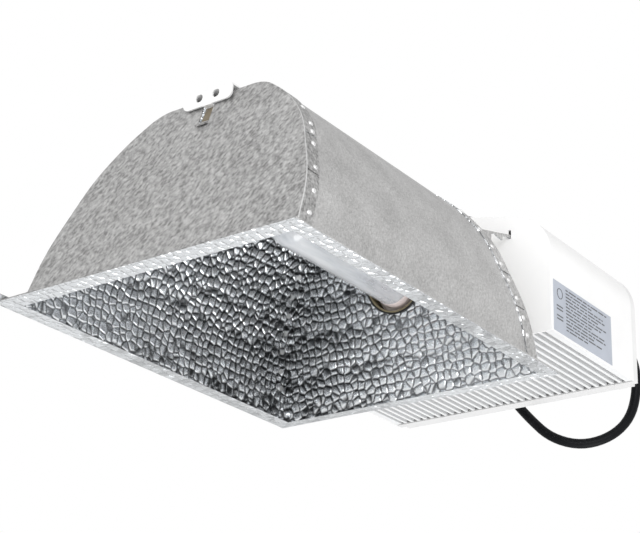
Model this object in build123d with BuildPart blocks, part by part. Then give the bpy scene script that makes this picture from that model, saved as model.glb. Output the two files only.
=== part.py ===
"""Hooded grow lamp with a tubular lamp and a finned ballast housing, in millimetres.

Places are given by x, the distance from the near edge of the reflector's rim, y, the distance
from the centre line, and z, the height above the rim plane. The planes below turn these into the
part's own frame, whose origin is the middle of the front hanger's two holes.
"""
import math
import os

from build123d import *

os.makedirs("parts", exist_ok=True)

# ---------------------------------------------------------------- driving dimensions
# frame
hanger_x = 66.0
hanger_z = 167.5

# reflector sheet
sheet = 1.0
rim_length = 363.4
rim_half = 145.0
wall_half = 131.0
near_foot, near_lean = 16.0, 0.33
far_foot, far_lean = 353.0, -0.22
hood_half = [(131.0, 0.0), (127.5, 49.6), (103.6, 115.9), (78.8, 146.4), (52.5, 167.2)]
fold_radii = [150.0, 110.0, 110.0, 35.0]
below_rim = 12.0
wall_halvings = 30
mitre_gap = 0.2
slit = 1.6
tab_width = 16.0
tab_bottom = 9.0
near_slits = [57.0, 97.0]
far_slits = [52.0, 84.0]

# rivets
rivet_inset = 11.0
near_rivets = [20.0, 40.0, 63.0, 88.0, 101.0, 110.3, 131.0]
far_rivets = [28.0, 43.0, 60.0, 76.0, 91.0, 107.0, 124.0, 143.0]
rivet_shank_r = 1.6
rivet_head_r = 2.3
rivet_head_h = 0.9
rivet_dome = 35.0
rivet_seat = 0.03

# openings in the end plates
lamp_hole_z = 103.4
lamp_hole_r = 28.0
edging_wall = 1.4
edging_reach = 1.6
slot_half = 5.5
slot_low, slot_high = 143.0, 161.0
ledge_h = 3.5
ledge_reach = 4.0

# hooks that hang the reflector on the housing
hook_y = 91.0
hook_t = 1.5
hook_slot_half = 1.4
hook_slot_low, hook_slot_high = 140.7, 149.0

# lamp
lamp_z = 100.0
bulb_r = 19.25
bulb_wall = 1.2
bulb_x0, bulb_x1 = 162.0, 327.0
lamp_base_r = 19.5
lamp_base_x1 = 340.0
base_edge_r = 1.5
key_w, key_h, key_length = 8.0, 6.0, 6.0
pin_r = 1.5
pin_pitch_r = 9.0
pin_length = 10.0
running_gap = 0.4

# ballast housing
front_x, cap_x, end_x = 376.4, 530.0, 538.0
base_z = 46.6
roof_corner_z = 151.9
roof_flat_half, roof_z = 30.0, 177.0
shoulder_r = 41.0
roof_fold_r = 10.0
shell = 1.2
panel = 1.6
fin_count, fin_pitch, fin_t = 31, 7.9, 3.0
sink_top, sink_under = 66.0, 62.0
rail_w = 6.0
sink_x1 = 528.0
lip_x, lip_half = 544.0, 125.0

# hangers
hanger_half = 25.0
hanger_t = 1.5
hanger_low, hanger_top = 159.5, 172.1
strap_z = 170.6
hole_pitch = 17.0
hole_r = 3.5
rear_x = 518.0
rear_top = 200.0
rear_hole_z = 190.0

# supply cord
cord_d = 9.4
cord_r = cord_d / 2
gland_y, gland_z = -92.0, 112.0
boot_x = 560.0
coil_x, coil_y, coil_z = 454.0, 32.0, 178.8
coil_mid_r = 47.5
coil_columns, coil_layers = 3, 2
tie_t, tie_w, tie_gap = 1.2, 8.0, 0.4

# circuit
board_z, board_t = 72.0, 1.6
board_x0, board_x1, board_half = 388.0, 522.0, 108.0


# ---------------------------------------------------------------- planes
def across(x):
    """Upright plane square to the length at x; its sketch axes are y and z."""
    return Plane(origin=(x - hanger_x, 0, -hanger_z), x_dir=(0, 1, 0), z_dir=(1, 0, 0))


def level(z):
    """Horizontal plane at height z; its sketch axes are x and y."""
    return Plane(origin=(-hanger_x, 0, z - hanger_z))


def beside(y):
    """Upright plane along the length at y, facing -Y; its sketch axes are x and z."""
    return Plane(origin=(-hanger_x, y, -hanger_z), x_dir=(1, 0, 0), z_dir=(0, -1, 0))


def slanted(foot, lean):
    """Plane that crosses the rim plane at x = foot and moves lean along x for each unit of z."""
    return Plane(origin=(foot - hanger_x, 0, -hanger_z), x_dir=(0, 1, 0), z_dir=(1, 0, -lean))


def at(x, y, z):
    """A place in the part's own frame."""
    return (x - hanger_x, y, z - hanger_z)


# ---------------------------------------------------------------- shared outlines
# One side of the hood's outline, begun below the rim plane so that its wall crosses it straight.
(foot_y, foot_z), (next_y, next_z) = hood_half[:2]
hood_start = (foot_y + (foot_y - next_y) * below_rim / (next_z - foot_z), foot_z - below_rim)
hood_right = [hood_start] + hood_half[1:]
with BuildLine() as hood_wall:
    FilletPolyline(*hood_right, (0, hood_half[-1][1]), radius=fold_radii)
hood_wall = hood_wall.wires()[0]


def hood_outline(grow):
    """Cross-section of the hood above the rim plane, grown outwards by grow."""
    left = [(-y, z) for y, z in reversed(hood_right)]
    with BuildSketch() as outline:
        with BuildLine():
            hood = FilletPolyline(*hood_right, *left, radius=fold_radii + fold_radii[::-1])
            Line(hood @ 1, hood @ 0)
        make_face()
        if grow:
            offset(amount=grow)
        Rectangle(3 * rim_half, below_rim * 3, align=(Align.CENTER, Align.MAX), mode=Mode.SUBTRACT)
    return outline.sketch


def hood_side(z):
    """Half width of the hood at height z, and how far its wall leans from upright, in degrees."""
    low, high = 0.0, 1.0
    for _ in range(wall_halvings):
        middle = (low + high) / 2
        if (hood_wall @ middle).Y < z:
            low = middle
        else:
            high = middle
    along = hood_wall % low
    return (hood_wall @ low).X, math.degrees(math.atan2(-along.X, along.Y))


def rivet_planes(heights, foot, lean, inset):
    """Planes on the hood's outer face, facing outwards, one for each rivet of an end plate."""
    planes = []
    for z in heights:
        y, tilt = hood_side(z)
        for side in (-1, 1):
            outwards = (0, side * math.cos(math.radians(tilt)), math.sin(math.radians(tilt)))
            place = at(foot + lean * z + inset, side * y, z)
            planes.append(Plane(origin=place, x_dir=(1, 0, 0), z_dir=outwards))
    return planes


def housing_outline(inset, low=base_z):
    """Cross-section of the ballast housing above low, shrunk by inset."""
    corners = [(wall_half, low - below_rim), (wall_half, roof_corner_z), (roof_flat_half, roof_z)]
    mirrored = [(-y, z) for y, z in reversed(corners)]
    with BuildSketch() as outline:
        with BuildLine():
            roof = FilletPolyline(*corners, *mirrored,
                                  radius=[shoulder_r, roof_fold_r, roof_fold_r, shoulder_r])
            Line(roof @ 1, roof @ 0)
        make_face()
        if inset:
            offset(amount=-inset)
        with Locations((0, low)):
            Rectangle(3 * wall_half, below_rim * 3, align=(Align.CENTER, Align.MAX), mode=Mode.SUBTRACT)
    return outline.sketch


near_places = rivet_planes(near_rivets, near_foot, near_lean, rivet_inset)
far_places = rivet_planes(far_rivets, far_foot, far_lean, -rivet_inset)

pieces = {}

# ---------------------------------------------------------------- reflector
# Barrel: one folded sheet with a flange along each long side of the rim.
with BuildPart() as barrel:
    with BuildSketch(across(0)):
        add(hood_outline(0))
        add(hood_outline(-sheet), mode=Mode.SUBTRACT)
    extrude(amount=rim_length)
    split(bisect_by=slanted(near_foot + sheet, near_lean), keep=Keep.TOP)
    split(bisect_by=slanted(far_foot - sheet, far_lean), keep=Keep.BOTTOM)
    with BuildSketch(level(0)):
        for side in (-1, 1):
            with BuildLine():
                Polyline((mitre_gap, side * rim_half), (near_foot + sheet, side * (wall_half - sheet)),
                         (far_foot - sheet, side * (wall_half - sheet)),
                         (rim_length - mitre_gap, side * rim_half), close=True)
            make_face()
    extrude(amount=sheet)
    with Locations(*near_places, *far_places):
        Cylinder(rivet_shank_r, 6 * sheet, mode=Mode.SUBTRACT)
pieces["reflector_barrel"] = barrel


def end_plate_sheet(foot, lean, inwards, slits):
    """Cut and folded sheet of one end plate: plate, rim flange and the tabs that wrap the barrel."""
    with BuildPart() as plate:
        with BuildSketch(across(0)):
            add(hood_outline(sheet))
        extrude(amount=rim_length)
        slab = sorted([foot, foot + inwards * sheet])
        split(bisect_by=slanted(slab[0], lean), keep=Keep.TOP)
        split(bisect_by=slanted(slab[1], lean), keep=Keep.BOTTOM)
    with BuildPart() as tabs:
        with BuildSketch(across(0)):
            add(hood_outline(sheet))
            add(hood_outline(0), mode=Mode.SUBTRACT)
            Rectangle(3 * rim_half, tab_bottom * 2, mode=Mode.SUBTRACT)
        extrude(amount=rim_length)
        strip = sorted([foot, foot + inwards * tab_width])
        split(bisect_by=slanted(strip[0], lean), keep=Keep.TOP)
        split(bisect_by=slanted(strip[1], lean), keep=Keep.BOTTOM)
        for z in slits:
            start = foot + lean * z + inwards * 2 * sheet
            stop = start + inwards * 2 * tab_width
            with BuildSketch(level(z)):
                with Locations(((start + stop) / 2, 0)):
                    Rectangle(abs(stop - start), 3 * rim_half)
            extrude(amount=slit / 2, both=True, mode=Mode.SUBTRACT)
    return plate.part + tabs.part


# Near end plate, with the slot that the hanger's tongue enters and the ledge lanced below it.
with BuildPart() as near_plate:
    add(end_plate_sheet(near_foot, near_lean, 1, near_slits))
    with BuildSketch(level(0)):
        with BuildLine():
            Polyline((0, -rim_half), (0, rim_half), (near_foot + sheet, wall_half - sheet),
                     (near_foot + sheet, sheet - wall_half), close=True)
        make_face()
    extrude(amount=sheet)
    with BuildSketch(across(near_foot)):
        with Locations((0, slot_low)):
            Rectangle(2 * slot_half, slot_high - slot_low, align=(Align.CENTER, Align.MIN))
    extrude(amount=hanger_x, mode=Mode.SUBTRACT)
    ledge_x = near_foot + near_lean * slot_low
    with BuildSketch(beside(slot_half)):
        with BuildLine():
            Polyline((ledge_x + sheet / 2, slot_low), (ledge_x - ledge_reach, slot_low - ledge_h),
                     (ledge_x - ledge_reach + sheet, slot_low - ledge_h - sheet),
                     (ledge_x + sheet / 2, slot_low - 2 * sheet), close=True)
        make_face()
    extrude(amount=2 * slot_half)
    with BuildSketch(beside(rim_half)):
        with Locations((sheet, 0)):
            Rectangle(near_foot - sheet, tab_bottom, align=(Align.MIN, Align.MIN))
    extrude(amount=sheet)
    with Locations(*near_places):
        Cylinder(rivet_shank_r, 6 * sheet, mode=Mode.SUBTRACT)
pieces["near_end_plate"] = near_plate

# Far end plate, with the lamp hole and two toothed hooks that hang on the housing's front panel.
hole_centre = slanted(far_foot - sheet / 2, far_lean)
hook_root_low = 126.0
hook_root_high = 130.0
hook_line = [(343.8, 126.0), (343.8, 133.6), (351.0, 135.4), (357.0, 134.0), (362.6, 134.0),
             (362.6, 138.2), (368.6, 139.8), (372.0, 141.0), (378.4, 141.0), (378.4, 139.3),
             (381.2, 139.3), (381.2, 145.6)]
with BuildPart() as far_plate:
    add(end_plate_sheet(far_foot, far_lean, -1, far_slits))
    with BuildSketch(level(0)):
        with BuildLine():
            Polyline((rim_length, -rim_half), (rim_length, rim_half),
                     (far_foot - sheet, wall_half - sheet), (far_foot - sheet, sheet - wall_half),
                     close=True)
        make_face()
    extrude(amount=sheet)
    for side in (-1, 1):
        with BuildSketch(beside(side * hook_y + hook_t / 2)):
            with BuildLine():
                Polyline((far_foot + far_lean * hook_root_low - sheet / 2, hook_root_low), *hook_line,
                         (far_foot + far_lean * hook_root_high - sheet / 2, hook_root_high), close=True)
            make_face()
        extrude(amount=hook_t)
    with BuildSketch(hole_centre):
        with Locations((0, lamp_hole_z * math.hypot(1, far_lean))):
            Circle(lamp_hole_r)
    extrude(amount=4 * sheet, both=True, mode=Mode.SUBTRACT)
    with Locations(*far_places):
        Cylinder(rivet_shank_r, 6 * sheet, mode=Mode.SUBTRACT)
pieces["far_end_plate"] = far_plate
# The barrel's ends are trimmed to lie under the folds of both end plates.
barrel.part = barrel.part - near_plate.part - far_plate.part


def rivets(places):
    """Pop rivets through tab and barrel: outer head, shank and formed inner head."""
    with BuildPart() as group:
        for place in places:
            with BuildSketch(place.offset(sheet)):
                Circle(rivet_head_r)
            extrude(amount=rivet_head_h, taper=rivet_dome)
            with BuildSketch(place.offset(sheet)):
                Circle(rivet_shank_r)
            extrude(amount=-2 * sheet - rivet_seat)
            with BuildSketch(place.offset(-sheet - rivet_seat)):
                Circle(rivet_head_r)
            extrude(amount=-rivet_head_h)
    return group


pieces["near_end_rivets"] = rivets(near_places)
pieces["far_end_rivets"] = rivets(far_places)

# Edging: a channel ring pressed on the edge of the lamp hole.
edging_depth = sheet / 2 / math.hypot(1, far_lean)
with BuildPart() as edging:
    with BuildSketch(hole_centre):
        with Locations((0, lamp_hole_z * math.hypot(1, far_lean))):
            Circle(lamp_hole_r + edging_reach)
            Circle(lamp_hole_r - edging_wall, mode=Mode.SUBTRACT)
    extrude(amount=edging_depth + edging_wall, both=True)
    with BuildSketch(hole_centre):
        with Locations((0, lamp_hole_z * math.hypot(1, far_lean))):
            Circle(lamp_hole_r + 2 * edging_reach)
            Circle(lamp_hole_r, mode=Mode.SUBTRACT)
    extrude(amount=edging_depth, both=True, mode=Mode.SUBTRACT)
pieces["lamp_hole_edging"] = edging

# ---------------------------------------------------------------- lamp
# Glass envelope: a tube with a domed tip, hollow.
with BuildPart() as bulb:
    with BuildSketch(beside(0)):
        with BuildLine():
            rim_point = (bulb_x1, lamp_z + bulb_r)
            crown = (bulb_x0 + bulb_r, lamp_z + bulb_r)
            Line(rim_point, crown)
            RadiusArc(crown, (bulb_x0, lamp_z), -bulb_r)
            Line((bulb_x0, lamp_z), (bulb_x0 + bulb_wall, lamp_z))
            inner_crown = (bulb_x0 + bulb_r, lamp_z + bulb_r - bulb_wall)
            RadiusArc((bulb_x0 + bulb_wall, lamp_z), inner_crown, bulb_r - bulb_wall)
            Line(inner_crown, (bulb_x1, lamp_z + bulb_r - bulb_wall))
            Line((bulb_x1, lamp_z + bulb_r - bulb_wall), rim_point)
        make_face()
    revolve(axis=Axis(at(0, 0, lamp_z), (1, 0, 0)))
pieces["lamp_bulb"] = bulb

with BuildPart() as lamp_base:
    with BuildSketch(across(bulb_x1)):
        with Locations((0, lamp_z)):
            Circle(lamp_base_r)
    extrude(amount=lamp_base_x1 - bulb_x1)
    fillet(lamp_base.edges().filter_by(GeomType.CIRCLE), radius=base_edge_r)
    with BuildSketch(across(lamp_base_x1 - key_length)):
        with Locations((0, lamp_z + lamp_base_r)):
            Rectangle(key_w, key_h)
    extrude(amount=key_length, mode=Mode.SUBTRACT)
pieces["lamp_base"] = lamp_base

with BuildPart() as lamp_pins:
    with BuildSketch(across(lamp_base_x1)):
        with Locations((-pin_pitch_r, lamp_z), (pin_pitch_r, lamp_z)):
            Circle(pin_r)
    extrude(amount=pin_length)
pieces["lamp_pins"] = lamp_pins

arc_x0, arc_x1 = 232.0, 268.0
arc_r, arc_end_r = 5.5, 4.0
arc_leg, arc_leg_r = 12.0, 1.8
with BuildPart() as arc_tube:
    with BuildSketch(across(arc_x0)):
        with Locations((0, lamp_z)):
            Circle(arc_r)
    extrude(amount=arc_x1 - arc_x0)
    fillet(arc_tube.edges().filter_by(GeomType.CIRCLE), radius=arc_end_r)
    with BuildSketch(across(arc_x0 - arc_leg)):
        with Locations((0, lamp_z)):
            Circle(arc_leg_r)
    extrude(amount=arc_x1 - arc_x0 + 2 * arc_leg)
pieces["arc_tube"] = arc_tube

frame_wire_r = 0.9
frame_y = 12.0
frame_x0 = arc_x0 - arc_leg - 2 * frame_wire_r
with BuildPart() as frame_wires:
    with BuildSketch(across(arc_x1 + arc_leg)):
        with Locations((0, lamp_z)):
            Circle(frame_wire_r)
    extrude(amount=bulb_x1 - arc_x1 - arc_leg)
    with BuildSketch(across(frame_x0)):
        with Locations((frame_y, lamp_z)):
            Circle(frame_wire_r)
    extrude(amount=bulb_x1 - frame_x0)
    with BuildSketch(across(frame_x0)):
        with Locations((frame_y / 2, lamp_z)):
            Rectangle(frame_y + 2 * frame_wire_r, 2 * frame_wire_r)
    extrude(amount=2 * frame_wire_r)
pieces["frame_wires"] = frame_wires

getter_x, getter_t = 188.0, 2.0
getter_out, getter_in = 7.0, 5.5
getter_wire_r = 0.6
with BuildPart() as getter:
    with BuildSketch(across(getter_x)):
        with Locations((0, lamp_z)):
            Circle(getter_out)
            Circle(getter_in, mode=Mode.SUBTRACT)
    extrude(amount=getter_t)
    with BuildSketch(across(getter_x + getter_t)):
        with Locations((getter_in + frame_wire_r, lamp_z)):
            Circle(getter_wire_r)
    extrude(amount=frame_x0 - getter_x - getter_t)
pieces["getter"] = getter

# ---------------------------------------------------------------- lampholder
holder_r = 24.0
holder_x0, holder_x1 = 340.4, 368.0
holder_edge_r = 2.0
contact_w, contact_h, contact_length = 5.0, 7.0, 9.0
recess_w, recess_h, recess_depth = 6.0, 8.0, 10.0
with BuildPart() as lampholder:
    with BuildSketch(across(holder_x0)):
        with Locations((0, lamp_z)):
            Circle(holder_r)
    extrude(amount=holder_x1 - holder_x0)
    fillet(lampholder.edges().filter_by(GeomType.CIRCLE), radius=holder_edge_r)
    with BuildSketch(across(holder_x0)):
        with Locations((0, lamp_z)):
            Circle(pin_pitch_r + pin_r + running_gap)
            Circle(pin_pitch_r - pin_r - running_gap, mode=Mode.SUBTRACT)
    extrude(amount=pin_length + 1, mode=Mode.SUBTRACT)
    with BuildSketch(across(holder_x1)):
        with Locations((-pin_pitch_r, lamp_z), (pin_pitch_r, lamp_z)):
            Rectangle(recess_w, recess_h)
    extrude(amount=-recess_depth, mode=Mode.SUBTRACT)
pieces["lampholder"] = lampholder

with BuildPart() as contacts:
    with BuildSketch(across(holder_x1 - recess_depth)):
        with Locations((-pin_pitch_r, lamp_z), (pin_pitch_r, lamp_z)):
            Rectangle(contact_w, contact_h)
    extrude(amount=contact_length)
pieces["lampholder_contacts"] = contacts

bracket_half = 21.0
bracket_t = 1.5
bracket_h = 22.0
foot_reach = 28.4
window_w, window_h = 26.0, 10.0
with BuildPart() as bracket:
    with BuildSketch(across(holder_x1)):
        with Locations((0, lamp_z)):
            Rectangle(2 * bracket_half, bracket_h)
            Rectangle(window_w, window_h, mode=Mode.SUBTRACT)
    extrude(amount=bracket_t)
    for side in (-1, 1):
        with BuildSketch(across(holder_x1)):
            with Locations((side * (bracket_half - bracket_t / 2), lamp_z)):
                Rectangle(bracket_t, bracket_h)
        extrude(amount=front_x - holder_x1)
        with BuildSketch(across(front_x)):
            with Locations((side * (bracket_half - bracket_t + foot_reach) / 2, lamp_z)):
                Rectangle(foot_reach - bracket_half + bracket_t, bracket_h)
        extrude(amount=-bracket_t)
pieces["lampholder_bracket"] = bracket

# Heat collar: a tube round the lampholder, flanged on the front panel, cut parallel to the plate.
collar_in, collar_out, collar_flange = 31.0, 33.0, 40.0
collar_gap = 2.0
collar_x = far_foot + far_lean * (lamp_z + collar_out)
with BuildPart() as collar:
    with BuildSketch(across(collar_x)):
        with Locations((0, lamp_z)):
            Circle(collar_out)
            Circle(collar_in, mode=Mode.SUBTRACT)
    extrude(amount=front_x - collar_x)
    split(bisect_by=slanted(far_foot + collar_gap, far_lean), keep=Keep.TOP)
    with BuildSketch(across(front_x)):
        with Locations((0, lamp_z)):
            Circle(collar_flange)
            Circle(collar_in, mode=Mode.SUBTRACT)
    extrude(amount=-bracket_t)
pieces["heat_collar"] = collar

# ---------------------------------------------------------------- ballast housing
with BuildPart() as cover:
    with BuildSketch(across(front_x + panel)):
        add(housing_outline(0))
        add(housing_outline(shell), mode=Mode.SUBTRACT)
    extrude(amount=cap_x - front_x - panel)
pieces["housing_cover"] = cover

wire_hole_r = 11.0
gland_neck_r, gland_flange_r = cord_r + 2.3, cord_r + 4.3
with BuildPart() as front_panel:
    with BuildSketch(across(front_x)):
        add(housing_outline(0))
        with Locations((0, lamp_z)):
            Circle(wire_hole_r, mode=Mode.SUBTRACT)
        for side in (-1, 1):
            with Locations((side * hook_y, hook_slot_low)):
                Rectangle(2 * hook_slot_half, hook_slot_high - hook_slot_low,
                          align=(Align.CENTER, Align.MIN), mode=Mode.SUBTRACT)
    extrude(amount=panel)
pieces["front_panel"] = front_panel

# End cap: a shallow pan that closes the far end, with a lip along its lower edge.
with BuildPart() as end_cap:
    with BuildSketch(across(cap_x)):
        add(housing_outline(0))
    extrude(amount=end_x - cap_x)
    with BuildSketch(across(cap_x)):
        add(housing_outline(shell, base_z + panel))
    extrude(amount=end_x - cap_x - panel, mode=Mode.SUBTRACT)
    with BuildSketch(across(end_x)):
        with Locations((0, base_z)):
            Rectangle(2 * lip_half, 2 * panel, align=(Align.CENTER, Align.MIN))
    extrude(amount=lip_x - end_x)
    with BuildSketch(across(cap_x)):
        with Locations((gland_y, gland_z)):
            Circle(gland_neck_r)
    extrude(amount=end_x - cap_x, mode=Mode.SUBTRACT)
pieces["end_cap"] = end_cap

inner_half = wall_half - shell
with BuildPart() as heat_sink:
    with BuildSketch(across(front_x + panel)):
        with Locations((0, sink_under)):
            Rectangle(2 * inner_half, sink_top - sink_under, align=(Align.CENTER, Align.MIN))
        with Locations((0, (base_z + sink_under) / 2)):
            with GridLocations(fin_pitch, 1, fin_count, 1):
                Rectangle(fin_t, sink_under - base_z)
            with GridLocations(2 * inner_half - rail_w, 1, 2, 1):
                Rectangle(rail_w, sink_under - base_z)
    extrude(amount=sink_x1 - front_x - panel)
pieces["heat_sink"] = heat_sink

label_t = 0.4
label_x, label_z = 380.5, 48.2
label_length, label_h = 106.5, 46.8
with BuildPart() as label_plate:
    with BuildSketch(beside(-wall_half)):
        with Locations((label_x, label_z)):
            Rectangle(label_length, label_h, align=(Align.MIN, Align.MIN))
    extrude(amount=label_t)
pieces["label_plate"] = label_plate

# ---------------------------------------------------------------- hangers
strap_flange_low = 150.0
tongue_half = 4.5
tongue_x1 = 78.0
tongue_top = slot_high - running_gap
corner_r = 6.0
strap_screw_z = 158.0
strap_screw_y = 17.0
with BuildPart() as arm:
    with BuildSketch(across(hanger_x)):
        with Locations((0, hanger_low)):
            Rectangle(2 * hanger_half, hanger_top - hanger_low, align=(Align.CENTER, Align.MIN))
        fillet(vertices().group_by(Axis.Y)[0], radius=corner_r)
        with Locations((0, hanger_z)):
            with GridLocations(hole_pitch, 1, 2, 1):
                Circle(hole_r, mode=Mode.SUBTRACT)
    extrude(amount=hanger_t)
    with BuildSketch(level(strap_z)):
        with Locations((hanger_x, 0)):
            Rectangle(front_x - hanger_x, 2 * hanger_half, align=(Align.MIN, Align.CENTER))
    extrude(amount=hanger_t)
    with BuildSketch(across(front_x)):
        with Locations((0, strap_flange_low)):
            Rectangle(2 * hanger_half, hanger_top - strap_flange_low, align=(Align.CENTER, Align.MIN))
    extrude(amount=-hanger_t)
    with BuildSketch(level(tongue_top)):
        with Locations((hanger_x, 0)):
            Rectangle(tongue_x1 - hanger_x, 2 * tongue_half, align=(Align.MIN, Align.CENTER))
    extrude(amount=-hanger_t)
pieces["hanger_arm"] = arm

rear_foot_x = 529.5
rear_screw_x = 526.0
with BuildPart() as rear_hanger:
    with BuildSketch(across(rear_x)):
        with Locations((0, roof_z)):
            Rectangle(2 * hanger_half, rear_top - roof_z, align=(Align.CENTER, Align.MIN))
        fillet(vertices().group_by(Axis.Y)[-1], radius=corner_r)
        with Locations((0, rear_hole_z)):
            with GridLocations(hole_pitch, 1, 2, 1):
                Circle(hole_r, mode=Mode.SUBTRACT)
    extrude(amount=hanger_t)
    with BuildSketch(level(roof_z)):
        with Locations((rear_x, 0)):
            Rectangle(rear_foot_x - rear_x, 2 * hanger_half, align=(Align.MIN, Align.CENTER))
    extrude(amount=hanger_t)
pieces["rear_hanger"] = rear_hanger


# ---------------------------------------------------------------- screws
screw_head_r, screw_head_h, screw_dome = 3.4, 2.2, 18.0
screw_shank_r, screw_grip = 1.9, 6.0
screw_slot, screw_slot_w, screw_slot_depth = 4.4, 0.9, 1.0


def screws(places):
    """Slotted domed screws on the given planes: each head stands on its plane, its shank goes in."""
    with BuildPart() as group:
        for place in places:
            with BuildSketch(place):
                Circle(screw_head_r)
            extrude(amount=screw_head_h, taper=screw_dome)
            with BuildSketch(place):
                Circle(screw_shank_r)
            extrude(amount=-screw_grip)
            with BuildSketch(place.offset(screw_head_h)):
                SlotOverall(screw_slot, screw_slot_w)
            extrude(amount=-screw_slot_depth, mode=Mode.SUBTRACT)
    return group


def facing(x, y, z, direction):
    """Plane at a place, facing the given direction."""
    return Plane(origin=at(x, y, z), z_dir=direction)


# Blocks on top of the heat sink take the screws of the front panel and the end cap.
block, block_depth = 14.0, 9.0
block_y = 75.0
block_places = [(side * block_y, sink_top + block / 2) for side in (-1, 1)]
with BuildPart() as blocks:
    for x in (front_x + panel, end_x - panel - block_depth):
        with BuildSketch(across(x)):
            with Locations(*block_places):
                Rectangle(block, block)
        extrude(amount=block_depth)
pieces["mounting_blocks"] = blocks

collar_screw_r = (collar_out + collar_flange) / 2
collar_angles = [math.radians(angle) for angle in (45, 135, 225, 315)]
bracket_screw_y = 25.4
screw_sets = {
    "panel_screws": ([facing(front_x, y, z, (-1, 0, 0)) for y, z in block_places],
                     [front_panel, blocks]),
    "cap_screws": ([facing(end_x, y, z, (1, 0, 0)) for y, z in block_places],
                   [end_cap, blocks]),
    "arm_screws": ([facing(front_x - hanger_t, side * strap_screw_y, strap_screw_z, (-1, 0, 0))
                    for side in (-1, 1)], [arm, front_panel]),
    "collar_screws": ([facing(front_x - bracket_t, collar_screw_r * math.cos(angle),
                              lamp_z + collar_screw_r * math.sin(angle), (-1, 0, 0))
                       for angle in collar_angles], [collar, front_panel]),
    "lampholder_screws": ([facing(front_x - bracket_t, side * bracket_screw_y, lamp_z, (-1, 0, 0))
                           for side in (-1, 1)], [bracket, front_panel]),
    "rear_hanger_screws": ([facing(rear_screw_x, side * strap_screw_y, roof_z + hanger_t, (0, 0, 1))
                            for side in (-1, 1)], [rear_hanger, cover]),
}
for label, (places, holders) in screw_sets.items():
    pieces[label] = screws(places)
    for holder in holders:
        holder.part = holder.part - pieces[label].part

# ---------------------------------------------------------------- circuit in the housing
film_t, film_edge = 0.5, 4.0
hex_r, corner_inset = 3.6, 6.0
board_mid = (board_x0 + board_x1) / 2
with BuildPart() as insulating_sheet:
    with BuildSketch(level(sink_top)):
        with Locations((board_mid, 0)):
            Rectangle(board_x1 - board_x0, 2 * (board_half + film_edge))
    extrude(amount=film_t)
pieces["insulating_sheet"] = insulating_sheet

with BuildPart() as standoffs:
    with BuildSketch(level(sink_top + film_t)):
        with Locations((board_mid, 0)):
            with GridLocations(board_x1 - board_x0 - 2 * corner_inset, 2 * (board_half - corner_inset), 2, 2):
                RegularPolygon(hex_r, 6)
    extrude(amount=board_z - sink_top - film_t)
pieces["board_standoffs"] = standoffs

with BuildPart() as board:
    with BuildSketch(level(board_z)):
        with Locations((board_mid, 0)):
            Rectangle(board_x1 - board_x0, 2 * board_half)
    extrude(amount=board_t)
pieces["circuit_board"] = board
board_top = board_z + board_t


def wound_part(x, y, core, height):
    """Transformer on the board: an upright ferrite frame round a winding."""
    length, width = core
    leg = length / 5
    with BuildPart() as ferrite:
        with BuildSketch(beside(y + width / 2)):
            with Locations((x, board_top)):
                Rectangle(length, height, align=(Align.CENTER, Align.MIN))
            with Locations((x, board_top + leg)):
                Rectangle(length - 2 * leg, height - 2 * leg, align=(Align.CENTER, Align.MIN),
                          mode=Mode.SUBTRACT)
        extrude(amount=width)
    with BuildPart() as winding:
        with BuildSketch(level(board_top + leg)):
            with Locations((x, y)):
                RectangleRounded(length - 2 * leg, width + 2 * leg, leg)
        extrude(amount=height - 2 * leg)
    return ferrite, winding


choke_place, choke_size, choke_h = (434.0, 24.0), (46.0, 24.0), 46.0
transformer_place, transformer_size, transformer_h = (490.0, 34.0), (42.0, 22.0), 40.0
pieces["choke_core"], pieces["choke_winding"] = wound_part(*choke_place, choke_size, choke_h)
pieces["transformer_core"], pieces["transformer_winding"] = wound_part(
    *transformer_place, transformer_size, transformer_h)

can_x, can_y, can_pitch = 440.0, -38.0, 28.0
can_r, can_h, can_edge = 12.5, 45.0, 1.2
with BuildPart() as bulk_capacitors:
    with BuildSketch(level(board_top)):
        with Locations((can_x, can_y)):
            with GridLocations(can_pitch, 1, 3, 1):
                Circle(can_r)
    extrude(amount=can_h)
    chamfer(bulk_capacitors.faces().sort_by(Axis.Z)[-1].edges(), length=can_edge)
pieces["bulk_capacitors"] = bulk_capacitors

box_h, box_edge_r = 22.0, 1.5
upright_boxes, upright_size = [(446.0, 78.0), (466.0, 78.0)], (12.0, 32.0)
flat_box, flat_size = (500.0, -12.0), (30.0, 14.0)
with BuildPart() as film_capacitors:
    with BuildSketch(level(board_top)):
        with Locations(*upright_boxes):
            Rectangle(*upright_size)
        with Locations(flat_box):
            Rectangle(*flat_size)
    extrude(amount=box_h)
    fillet(film_capacitors.edges().filter_by(Axis.Z), radius=box_edge_r)
pieces["film_capacitors"] = film_capacitors

ring_x, ring_y = 496.0, -78.0
ring_out, ring_in, ring_w = 15.0, 7.0, 12.0
with BuildPart() as noise_filter:
    with BuildSketch(beside(ring_y)):
        with Locations((ring_x, board_top + ring_out)):
            Circle(ring_out)
            Circle(ring_in, mode=Mode.SUBTRACT)
    extrude(amount=ring_w)
pieces["noise_filter_coil"] = noise_filter

ignitor_place = (404.0, 84.0)
ignitor_w, ignitor_depth, ignitor_h, ignitor_r = 26.0, 34.0, 30.0, 3.0
with BuildPart() as ignitor:
    with BuildSketch(level(board_top)):
        with Locations(ignitor_place):
            RectangleRounded(ignitor_w, ignitor_depth, ignitor_r)
    extrude(amount=ignitor_h)
pieces["ignitor"] = ignitor

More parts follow.
